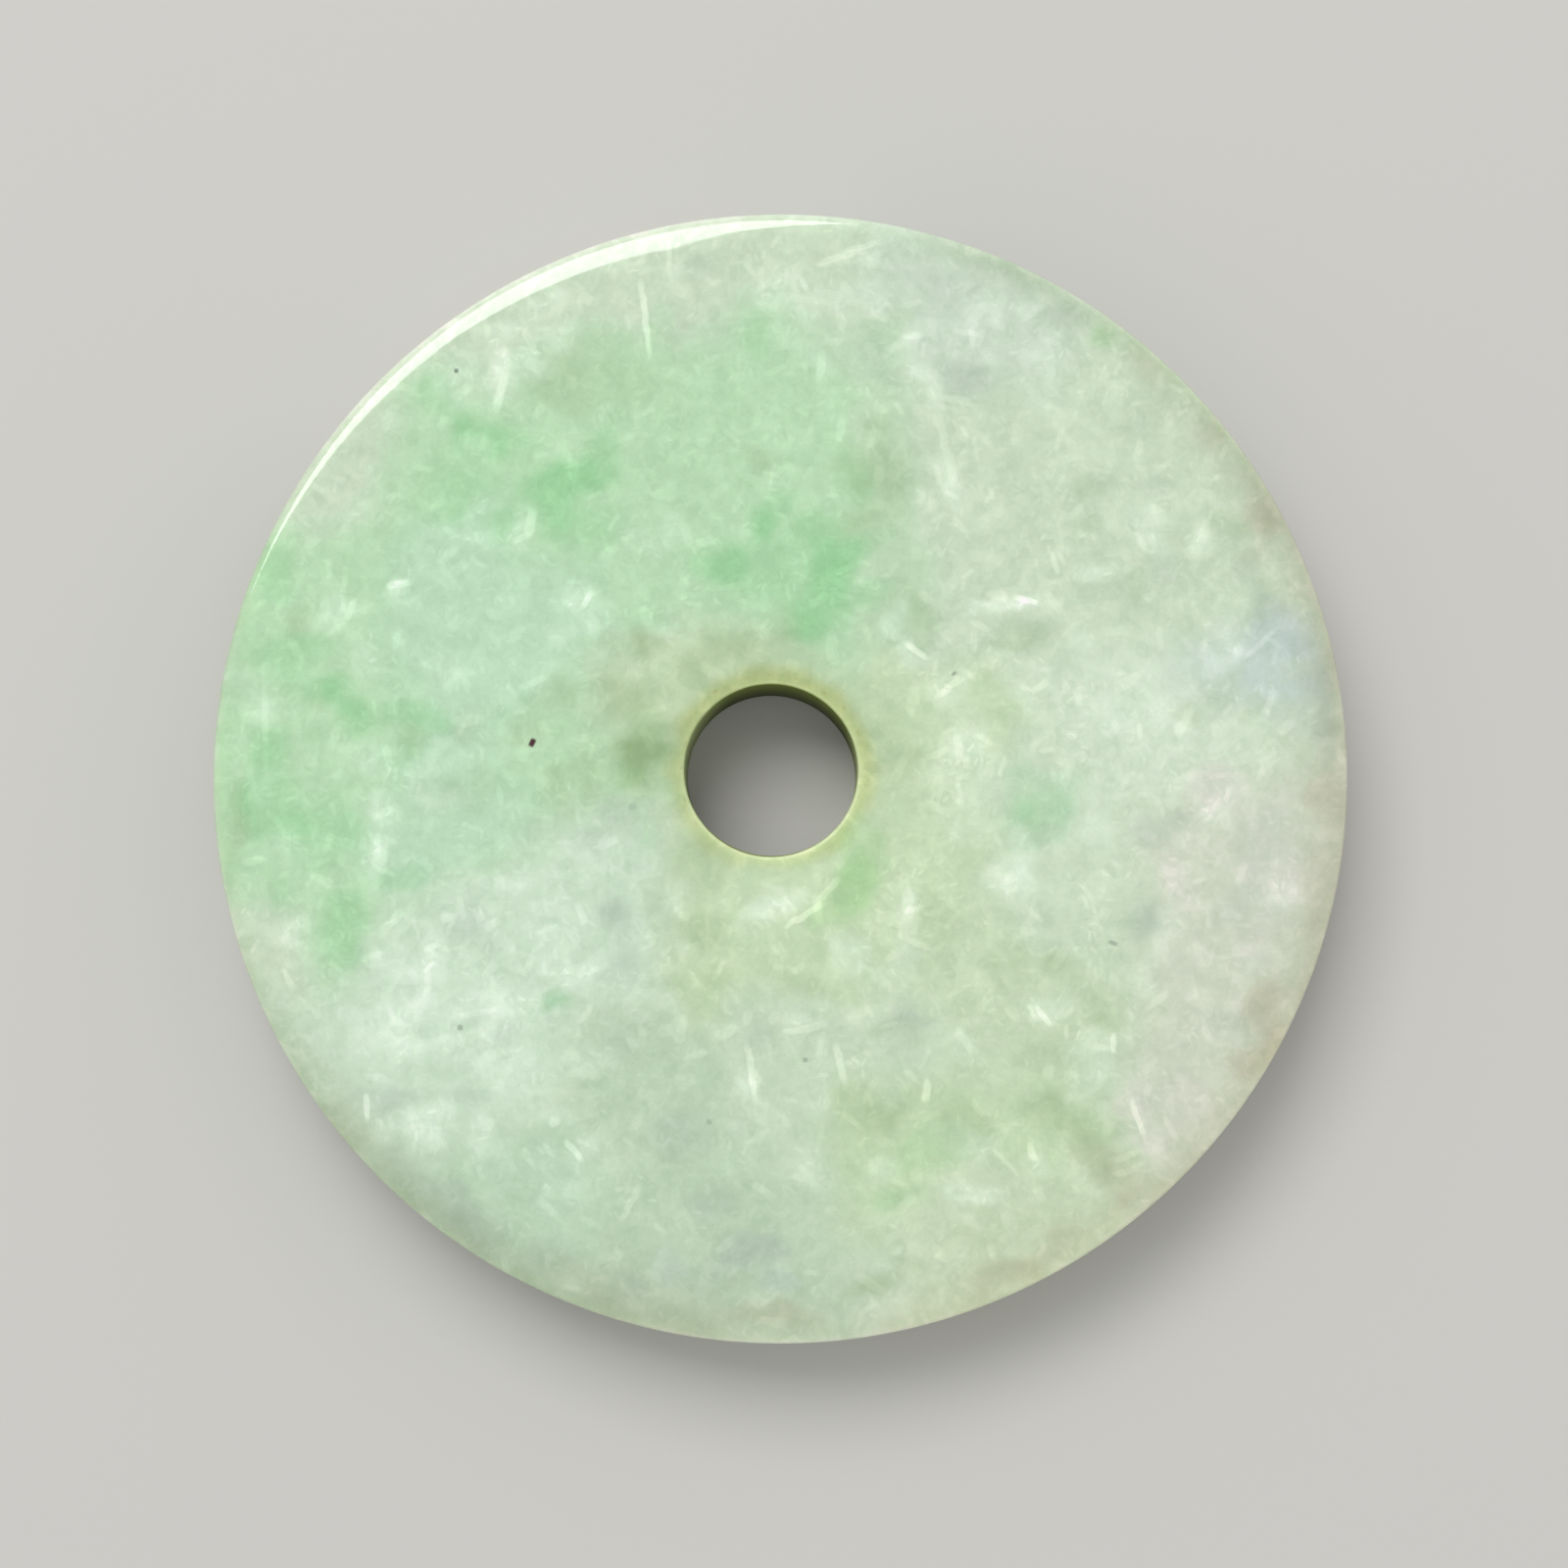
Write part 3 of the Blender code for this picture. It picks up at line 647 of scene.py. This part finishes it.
def grain_layer(tree, space, size, half_length, half_width, lath_tone, bare, differ):
    """Tone of one layer of grains: a random foam of cells of unlike tone, with a straight lath in some.

    A lath's heading and strength are random for its grain. It is solid in its middle and fades to its edge,
    and the sum of fourth powers that gives its outline makes its ends blunt.
    """
    foam = add_node(tree, "ShaderNodeTexVoronoi", {"Vector": space, "Scale": 1 / size})
    chance = add_node(tree, "ShaderNodeSeparateXYZ", {0: foam.outputs["Color"]})
    heading = add_node(
        tree, "ShaderNodeMath", {0: chance.outputs["X"], 1: math.tau}, operation="MULTIPLY"
    ).outputs[0]
    way = add_node(
        tree, "ShaderNodeVectorMath", {0: space, 1: foam.outputs["Position"]}, operation="SUBTRACT"
    ).outputs[0]
    turned = add_node(
        tree, "ShaderNodeVectorRotate", {"Vector": way, "Angle": heading}, rotation_type="Z_AXIS"
    ).outputs[0]
    shares = add_node(
        tree, "ShaderNodeVectorMath", {0: turned, 1: (1 / half_length, 1 / half_width, 1 / half_length)},
        operation="MULTIPLY",
    ).outputs[0]
    squares = add_node(tree, "ShaderNodeVectorMath", {0: shares, 1: shares}, operation="MULTIPLY").outputs[0]
    far = add_node(tree, "ShaderNodeVectorMath", {0: squares}, operation="LENGTH").outputs["Value"]
    strength = add_node(
        tree, "ShaderNodeMapRange", {"Value": chance.outputs["Y"], "From Min": bare, "To Max": lath_tone}
    ).outputs[0]
    lath = add_node(
        tree, "ShaderNodeMapRange",
        {"Value": far, "From Min": 1.0, "From Max": 0.2, "To Min": 0.0, "To Max": strength},
        interpolation_type="SMOOTHSTEP",
    ).outputs[0]
    return add_node(
        tree, "ShaderNodeMath", {0: chance.outputs["Z"], 1: differ, 2: lath}, operation="MULTIPLY_ADD"
    ).outputs[0]


def grain(tree, space, felt):
    """The stone's fine tone about 0: even noise over six octaves, and grains in three sizes.

    Wider noise, and the felt's own thickness, make the grains stand out more in some places than in others.
    """
    noise = add_node(
        tree, "ShaderNodeTexNoise",
        {"Vector": space, "Scale": 1 / NOISE_SIZE, "Detail": 5.0, "Roughness": NOISE_ROUGHNESS},
    )
    push = add_node(
        tree, "ShaderNodeVectorMath", {0: noise.outputs["Color"], "Scale": GRAIN_RAGGED}, operation="SCALE"
    ).outputs[0]
    ragged = add_node(tree, "ShaderNodeVectorMath", {0: space, 1: push}, operation="ADD").outputs[0]
    grains = 0.0
    for layer in GRAINS:
        grains = add_node(
            tree, "ShaderNodeMath", {0: grain_layer(tree, ragged, *layer), 1: grains}, operation="ADD"
        ).outputs[0]
    wide = add_node(
        tree, "ShaderNodeTexNoise", {"Vector": space, "Scale": 1 / FELT_NOISE_SIZE, "Detail": 1.0}
    ).outputs["Fac"]
    thick = add_node(
        tree, "ShaderNodeMapRange",
        {
            "Value": wide, "From Min": NOISE_LOW, "From Max": NOISE_HIGH,
            "To Min": FELT_THIN, "To Max": FELT_THICK,
        },
    ).outputs[0]
    thick = add_node(tree, "ShaderNodeMath", {0: thick, 1: felt}, operation="MULTIPLY").outputs[0]
    grains = add_node(tree, "ShaderNodeMath", {0: grains, 1: thick}, operation="MULTIPLY").outputs[0]
    tone = add_node(
        tree, "ShaderNodeMath", {0: noise.outputs["Fac"], 1: NOISE_TONE, 2: grains}, operation="MULTIPLY_ADD"
    ).outputs[0]
    return add_node(tree, "ShaderNodeMath", {0: tone, 1: GRAIN_LEVEL}, operation="ADD").outputs[0]


def distance_from_axis(tree, space, centre):
    """Distance from an upright axis through the given point, in millimetres."""
    way = add_node(
        tree, "ShaderNodeVectorMath", {0: space, 1: (centre[0], centre[1], 0.0)}, operation="SUBTRACT"
    ).outputs[0]
    flat = add_node(
        tree, "ShaderNodeVectorMath", {0: way, 1: (1.0, 1.0, 0.0)}, operation="MULTIPLY"
    ).outputs[0]
    return add_node(tree, "ShaderNodeVectorMath", {0: flat}, operation="LENGTH").outputs["Value"]


def polished_jadeite():
    """Polished jadeite: a glassy gloss over cloudy, faintly see-through stone that light sinks into.

    The eye reads soft green and white clouds below the surface, a felt of tiny crystals with brighter
    needles, a yellow stain where the cord and the hand have been, and a clean highlight on the rim that is
    partly painted into the stone's colour. The hole's wall is matt, as the drill left it, and its olive is
    partly stain and partly painted shade, and darkens downwards with more painted shade.
    """
    material = bpy.data.materials.new("polished_jadeite_stone")
    material.use_nodes = True
    tree = material.node_tree
    shader = tree.nodes["Principled BSDF"]
    place = add_node(tree, "ShaderNodeTexCoord").outputs["Object"]
    stone = add_node(tree, "ShaderNodeVectorMath", {0: place, "Scale": 1 / MM}, operation="SCALE").outputs[0]
    far = distance_from_axis(tree, stone, HOLE_CENTRE)

    painted = add_node(tree, "ShaderNodeVertexColor", layer_name="stone_colour")
    colour = painted.outputs["Color"]
    bumps = add_node(
        tree, "ShaderNodeTexNoise", {"Vector": stone, "Scale": 1 / MARK_NOISE_SIZE, "Detail": 1.0}
    )
    ragged = add_node(
        tree, "ShaderNodeVectorMath", {0: bumps.outputs["Color"], 1: (-0.5, -0.5, 0.0)}, operation="ADD"
    ).outputs[0]
    ragged = add_node(
        tree, "ShaderNodeVectorMath", {0: ragged, 1: MARK_NOISE_PUSH}, operation="MULTIPLY"
    ).outputs[0]
    tone = grain(tree, stone, painted.outputs["Alpha"])
    for layer in range(CRYSTAL_LAYERS):
        crystal = mark_mask(tree, f"crystals_{layer}", CRYSTAL_SOLID, ragged)
        tone = add_node(
            tree, "ShaderNodeMath", {0: crystal, 1: CRYSTAL_TONE, 2: tone}, operation="MULTIPLY_ADD"
        ).outputs[0]
    swing = add_node(
        tree, "ShaderNodeVectorMath", {0: GRAIN_SWING, "Scale": tone}, operation="SCALE"
    ).outputs[0]
    swing = add_node(tree, "ShaderNodeVectorMath", {0: swing, 1: (1.0, 1.0, 1.0)}, operation="ADD").outputs[0]
    colour = add_node(tree, "ShaderNodeVectorMath", {0: colour, 1: swing}, operation="MULTIPLY").outputs[0]

    wall = add_node(
        tree, "ShaderNodeMapRange",
        {
            "Value": far, "From Min": HOLE_RADIUS + WALL_EDGE, "From Max": HOLE_RADIUS,
            "To Min": 0.0, "To Max": 1.0,
        },
    ).outputs[0]
    # Painted shade: the wall darkens downwards from WALL_LIT under the front face
    height = add_node(tree, "ShaderNodeSeparateXYZ", {0: stone}).outputs["Z"]
    deep = add_node(
        tree, "ShaderNodeMapRange",
        {"Value": height, "From Min": THICKNESS - WALL_LIT, "From Max": 0.0, "To Min": 0.0, "To Max": wall},
    ).outputs[0]
    # The wall's olive is partly stain and partly painted shade, and deep in the hole it turns to painted
    # shade
    tints = (
        (mark_mask(tree, "brown_specks", SPECK_SOLID, ragged), OIL_BROWN),
        (mark_mask(tree, "maroon_specks", MAROON_SOLID, (0.0, 0.0, 0.0)), MAROON),
        (mark_mask(tree, "grey_specks", SPECK_SOLID, (0.0, 0.0, 0.0)), DARK_GREY),
        (wall, WALL_STAIN_AND_SHADE), (deep, WALL_PAINTED_SHADE),
    )
    for share, hex_colour in tints:
        tint = add_node(tree, "ShaderNodeMix", {0: share, 6: colour, 7: linear(hex_colour)}, data_type="RGBA")
        colour = tint.outputs[2]

    matt_full, matt_gone = (HOLE_RADIUS + out for out in MATT_FADE)
    matt = add_node(
        tree, "ShaderNodeMapRange",
        {
            "Value": far, "From Min": matt_gone, "From Max": matt_full,
            "To Min": FACE_ROUGHNESS, "To Max": WALL_ROUGHNESS,
        },
    ).outputs[0]
    tree.links.new(colour, shader.inputs["Base Color"])
    tree.links.new(matt, shader.inputs["Roughness"])
    shader.inputs["Metallic"].default_value = 0.0
    shader.inputs["IOR"].default_value = JADE_IOR
    shader.inputs["Subsurface Weight"].default_value = 1.0
    shader.inputs["Subsurface Radius"].default_value = LIGHT_SHARES
    shader.inputs["Subsurface Scale"].default_value = LIGHT_DEPTH * MM
    return material


def smooth_stray(angle, seed, waves=(1, 2, 3, 5, 8)):
    """A few sine waves round the disc, from -1 to 1, with random heights and starts."""
    draw = np.random.default_rng(seed)
    heights = draw.uniform(0.3, 1.0, len(waves)) / np.sqrt(waves)
    starts = draw.uniform(0, 2 * np.pi, len(waves))
    total = sum(h * np.sin(w * angle + s) for h, w, s in zip(heights, waves, starts))
    return total / heights.sum()


def face_wave(x, y, seed):
    """The slight waves that hand polishing leaves in a flat face: sines of four lengths in any heading."""
    draw = np.random.default_rng(seed)
    headings = draw.uniform(0, np.pi, len(WAVE_LENGTHS))
    starts = draw.uniform(0, 2 * np.pi, len(WAVE_LENGTHS))
    total = sum(
        np.sin(2 * np.pi * (x * np.cos(h) + y * np.sin(h)) / length + s)
        for length, h, s in zip(WAVE_LENGTHS, headings, starts)
    )
    return total / len(WAVE_LENGTHS)


def disc_surface():
    """Points of the whole disc in millimetres, as a grid of angle round it by place along its section.

    The section is closed. It runs up the hole's wall, over the lip by a quarter circle, straight out over the
    front face, down the rim by a superellipse, down the side, and back the same way under the disc. A point
    is its section's radius turned round the disc, about a centre that moves from the hole's to the disc's
    on the way over the face.
    """
    angle = np.linspace(0, 2 * np.pi, AROUND, endpoint=False)[:, None]
    heading = np.stack([np.cos(angle), np.sin(angle)], -1)
    oval = HOLE_OVAL * np.cos(2 * (angle - math.radians(HOLE_OVAL_HEADING)))
    hole = HOLE_RADIUS + oval
    rim = RADIUS - RIM_STRAY * (1 + smooth_stray(angle, HAND_SEED)) / 2
    off = np.degrees(np.angle(np.exp(1j * (angle - math.radians(WORN_HEADING)))))
    worn = np.exp(-(off / WORN_SPAN) ** 4)
    width = (RIM_ROUND_WIDTH + WORN_WIDTH * worn) * (1 + ROUNDING_STRAY * smooth_stray(angle, HAND_SEED + 1))
    fall = RIM_ROUND_DEPTH + WORN_DEPTH * worn

    quarter = np.linspace(0, np.pi / 2, LIP_STEPS, endpoint=False)[None, :]
    lip = hole + LIP_ROUND * (1 - np.cos(quarter))
    lip_drop = LIP_ROUND * (1 - np.sin(quarter))
    turn = np.linspace(0, np.pi / 2, RIM_STEPS + 1)[None, :]
    rounding = (rim - width) + width * np.sin(turn) ** (2 / RIM_ROUND_START)
    rim_drop = fall * (1 - np.cos(turn))
    side = np.linspace(0, 1, SIDE_STEPS + 1)[None, 1:-1]
    wall = np.linspace(0, 1, HOLE_WALL_STEPS, endpoint=False)[None, :]

    def ring(radius, centre_share, height):
        """Circles of a radius and height about a point that share of the way to the hole's centre."""
        radius, centre_share, height = np.broadcast_arrays(radius, centre_share, height)
        flat = centre_share[..., None] * HOLE_CENTRE + radius[..., None] * heading
        return np.concatenate([flat, height[..., None]], -1)

    def half(height, down, steps):
        """Lip, face and rim on one side of the disc, from the hole outwards."""
        share = np.linspace(0, 1, steps, endpoint=False)[None, :]
        inner = hole + LIP_ROUND
        lip_part = ring(lip, 1.0, height + down * lip_drop)
        face_part = ring(inner + (rim - width - inner) * share, 1 - share, height)
        rim_part = ring(rounding, 0.0, height + down * rim_drop)
        return np.concatenate([lip_part, face_part, rim_part], 1)

    front = half(THICKNESS, -1, FRONT_STEPS)
    back = half(0.0, 1, BACK_STEPS)[:, ::-1]
    wall_part = ring(hole, 1.0, LIP_ROUND + (THICKNESS - 2 * LIP_ROUND) * wall)
    side_height = THICKNESS - fall - (THICKNESS - 2 * fall) * side
    points = np.concatenate([wall_part, front, ring(rim, 0.0, side_height), back], 1)

    x, y, z = points[..., 0], points[..., 1], points[..., 2]
    wave = FACE_WAVE * (1 + face_wave(x, y, HAND_SEED + 2)) / 2
    points[..., 2] = z + np.where(z > THICKNESS / 2, -wave, wave)
    return points


def closed_grid_mesh(name, points):
    """A mesh of quads over a grid of points in millimetres that closes on itself both ways."""
    around, along = points.shape[:2]
    here = np.arange(around * along).reshape(around, along)
    next_round = np.roll(here, -1, 0)
    quads = np.stack([here, np.roll(here, -1, 1), np.roll(next_round, -1, 1), next_round], -1).reshape(-1, 4)
    mesh = bpy.data.meshes.new(name)
    mesh.from_pydata((points.reshape(-1, 3) * MM).tolist(), [], quads.tolist())
    mesh.update()
    mesh.shade_smooth()
    piece = bpy.data.objects.new(name, mesh)
    bpy.context.scene.collection.objects.link(piece)
    return piece


def jade_piece():
    """The dressed disc, which stands for the frame's plain one."""
    points = disc_surface()
    piece = closed_grid_mesh("carved_jade", points)
    layer = piece.data.color_attributes.new("stone_colour", "FLOAT_COLOR", "POINT")
    layer.data.foreach_set("color", stone_colour(points).ravel())
    crystals, layers = sorted_crystals()
    marks = {f"crystals_{number}": crystals[layers == number] for number in range(CRYSTAL_LAYERS)}
    marks.update(maroon_specks=MAROON_SPECKS, grey_specks=GREY_SPECKS, brown_specks=BROWN_SPECKS)
    for name, kind_marks in marks.items():
        layer = piece.data.attributes.new(name, "FLOAT_VECTOR", "POINT")
        layer.data.foreach_set("vector", mark_places(points, kind_marks).ravel())
    piece.data.materials.append(polished_jadeite())
    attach(piece, "root")
    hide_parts("jade_disc")


# Floor, in metres: half its side, and the hair's breadth that it lies under the disc
FLOOR_HALF = 3.0
FLOOR_GAP = 0.00002
FLOOR_ROUGHNESS = 0.8


def pale_floor():
    """A plain pale sheet, matt as card, under the disc."""
    corners = [(x * FLOOR_HALF, y * FLOOR_HALF, 0) for x, y in ((-1, -1), (1, -1), (1, 1), (-1, 1))]
    mesh = bpy.data.meshes.new("pale_floor")
    mesh.from_pydata(corners, [], [(0, 1, 2, 3)])
    floor = bpy.data.objects.new("pale_floor", mesh)
    bpy.context.scene.collection.objects.link(floor)
    material = bpy.data.materials.new("matt_card")
    material.use_nodes = True
    shader = material.node_tree.nodes["Principled BSDF"]
    shader.inputs["Base Color"].default_value = linear(FLOOR_PALE)
    shader.inputs["Roughness"].default_value = FLOOR_ROUGHNESS
    mesh.materials.append(material)
    floor.location.z = -FLOOR_GAP


# Light: one wide soft panel overhead, and an even fill from all round. The sizes are in metres. The panel
# runs up and to the left in the picture, from a corner near the disc's zenith, and so the rim shows a
# bright crescent there.
PANEL_MIDDLE = (-0.498, 0.969, 1.20)
PANEL_SIDES = (1.1, 1.1)
PANEL_HEADING = 170.5
PANEL_RADIANCE = 4.85
FILL_RADIANCE = 0.71


def studio_light():
    """A level panel that shines straight down, and a pale surround."""
    lamp = bpy.data.lights.new("panel", "AREA")
    lamp.shape = "RECTANGLE"
    lamp.size, lamp.size_y = PANEL_SIDES
    lamp.energy = PANEL_RADIANCE * math.pi * PANEL_SIDES[0] * PANEL_SIDES[1]
    panel = bpy.data.objects.new("panel", lamp)
    panel.location = PANEL_MIDDLE
    panel.rotation_euler = (0, 0, math.radians(PANEL_HEADING))
    bpy.context.scene.collection.objects.link(panel)
    world = bpy.data.worlds.new("surround")
    world.use_nodes = True
    background = world.node_tree.nodes["Background"]
    background.inputs["Color"].default_value = linear(FILL_WHITE)
    background.inputs["Strength"].default_value = FILL_RADIANCE
    bpy.context.scene.world = world


# Camera: nearly straight above, leaning a little towards the viewer, as the two rims show. The distance and
# the aim are in millimetres, and the lean in degrees.
SENSOR_WIDTH = 36.0
PHOTO_WIDTH = 1600
FOCAL_PIXELS = 3014
CAMERA_DISTANCE = 130.0
CAMERA_LEAN = 4.05
AIM_X = 0.17
AIM_Y = -0.61


def photo_camera():
    """The photograph's view. It looks at the aim point on the front face."""
    lens = bpy.data.cameras.new("photo_camera")
    lens.sensor_width = SENSOR_WIDTH
    lens.lens = SENSOR_WIDTH * FOCAL_PIXELS / PHOTO_WIDTH
    lens.clip_start = 0.001
    camera = bpy.data.objects.new("photo_camera", lens)
    lean = math.radians(CAMERA_LEAN)
    back = Vector((0, -math.sin(lean), math.cos(lean)))
    aim = Vector((AIM_X, AIM_Y, THICKNESS))
    camera.location = (aim + back * CAMERA_DISTANCE) * MM
    camera.rotation_euler = Matrix.Rotation(lean, 3, "X").to_euler()
    bpy.context.scene.collection.objects.link(camera)
    bpy.context.scene.camera = camera


jade_piece()
pale_floor()
studio_light()
photo_camera()
bpy.context.scene.view_settings.view_transform = "Standard"
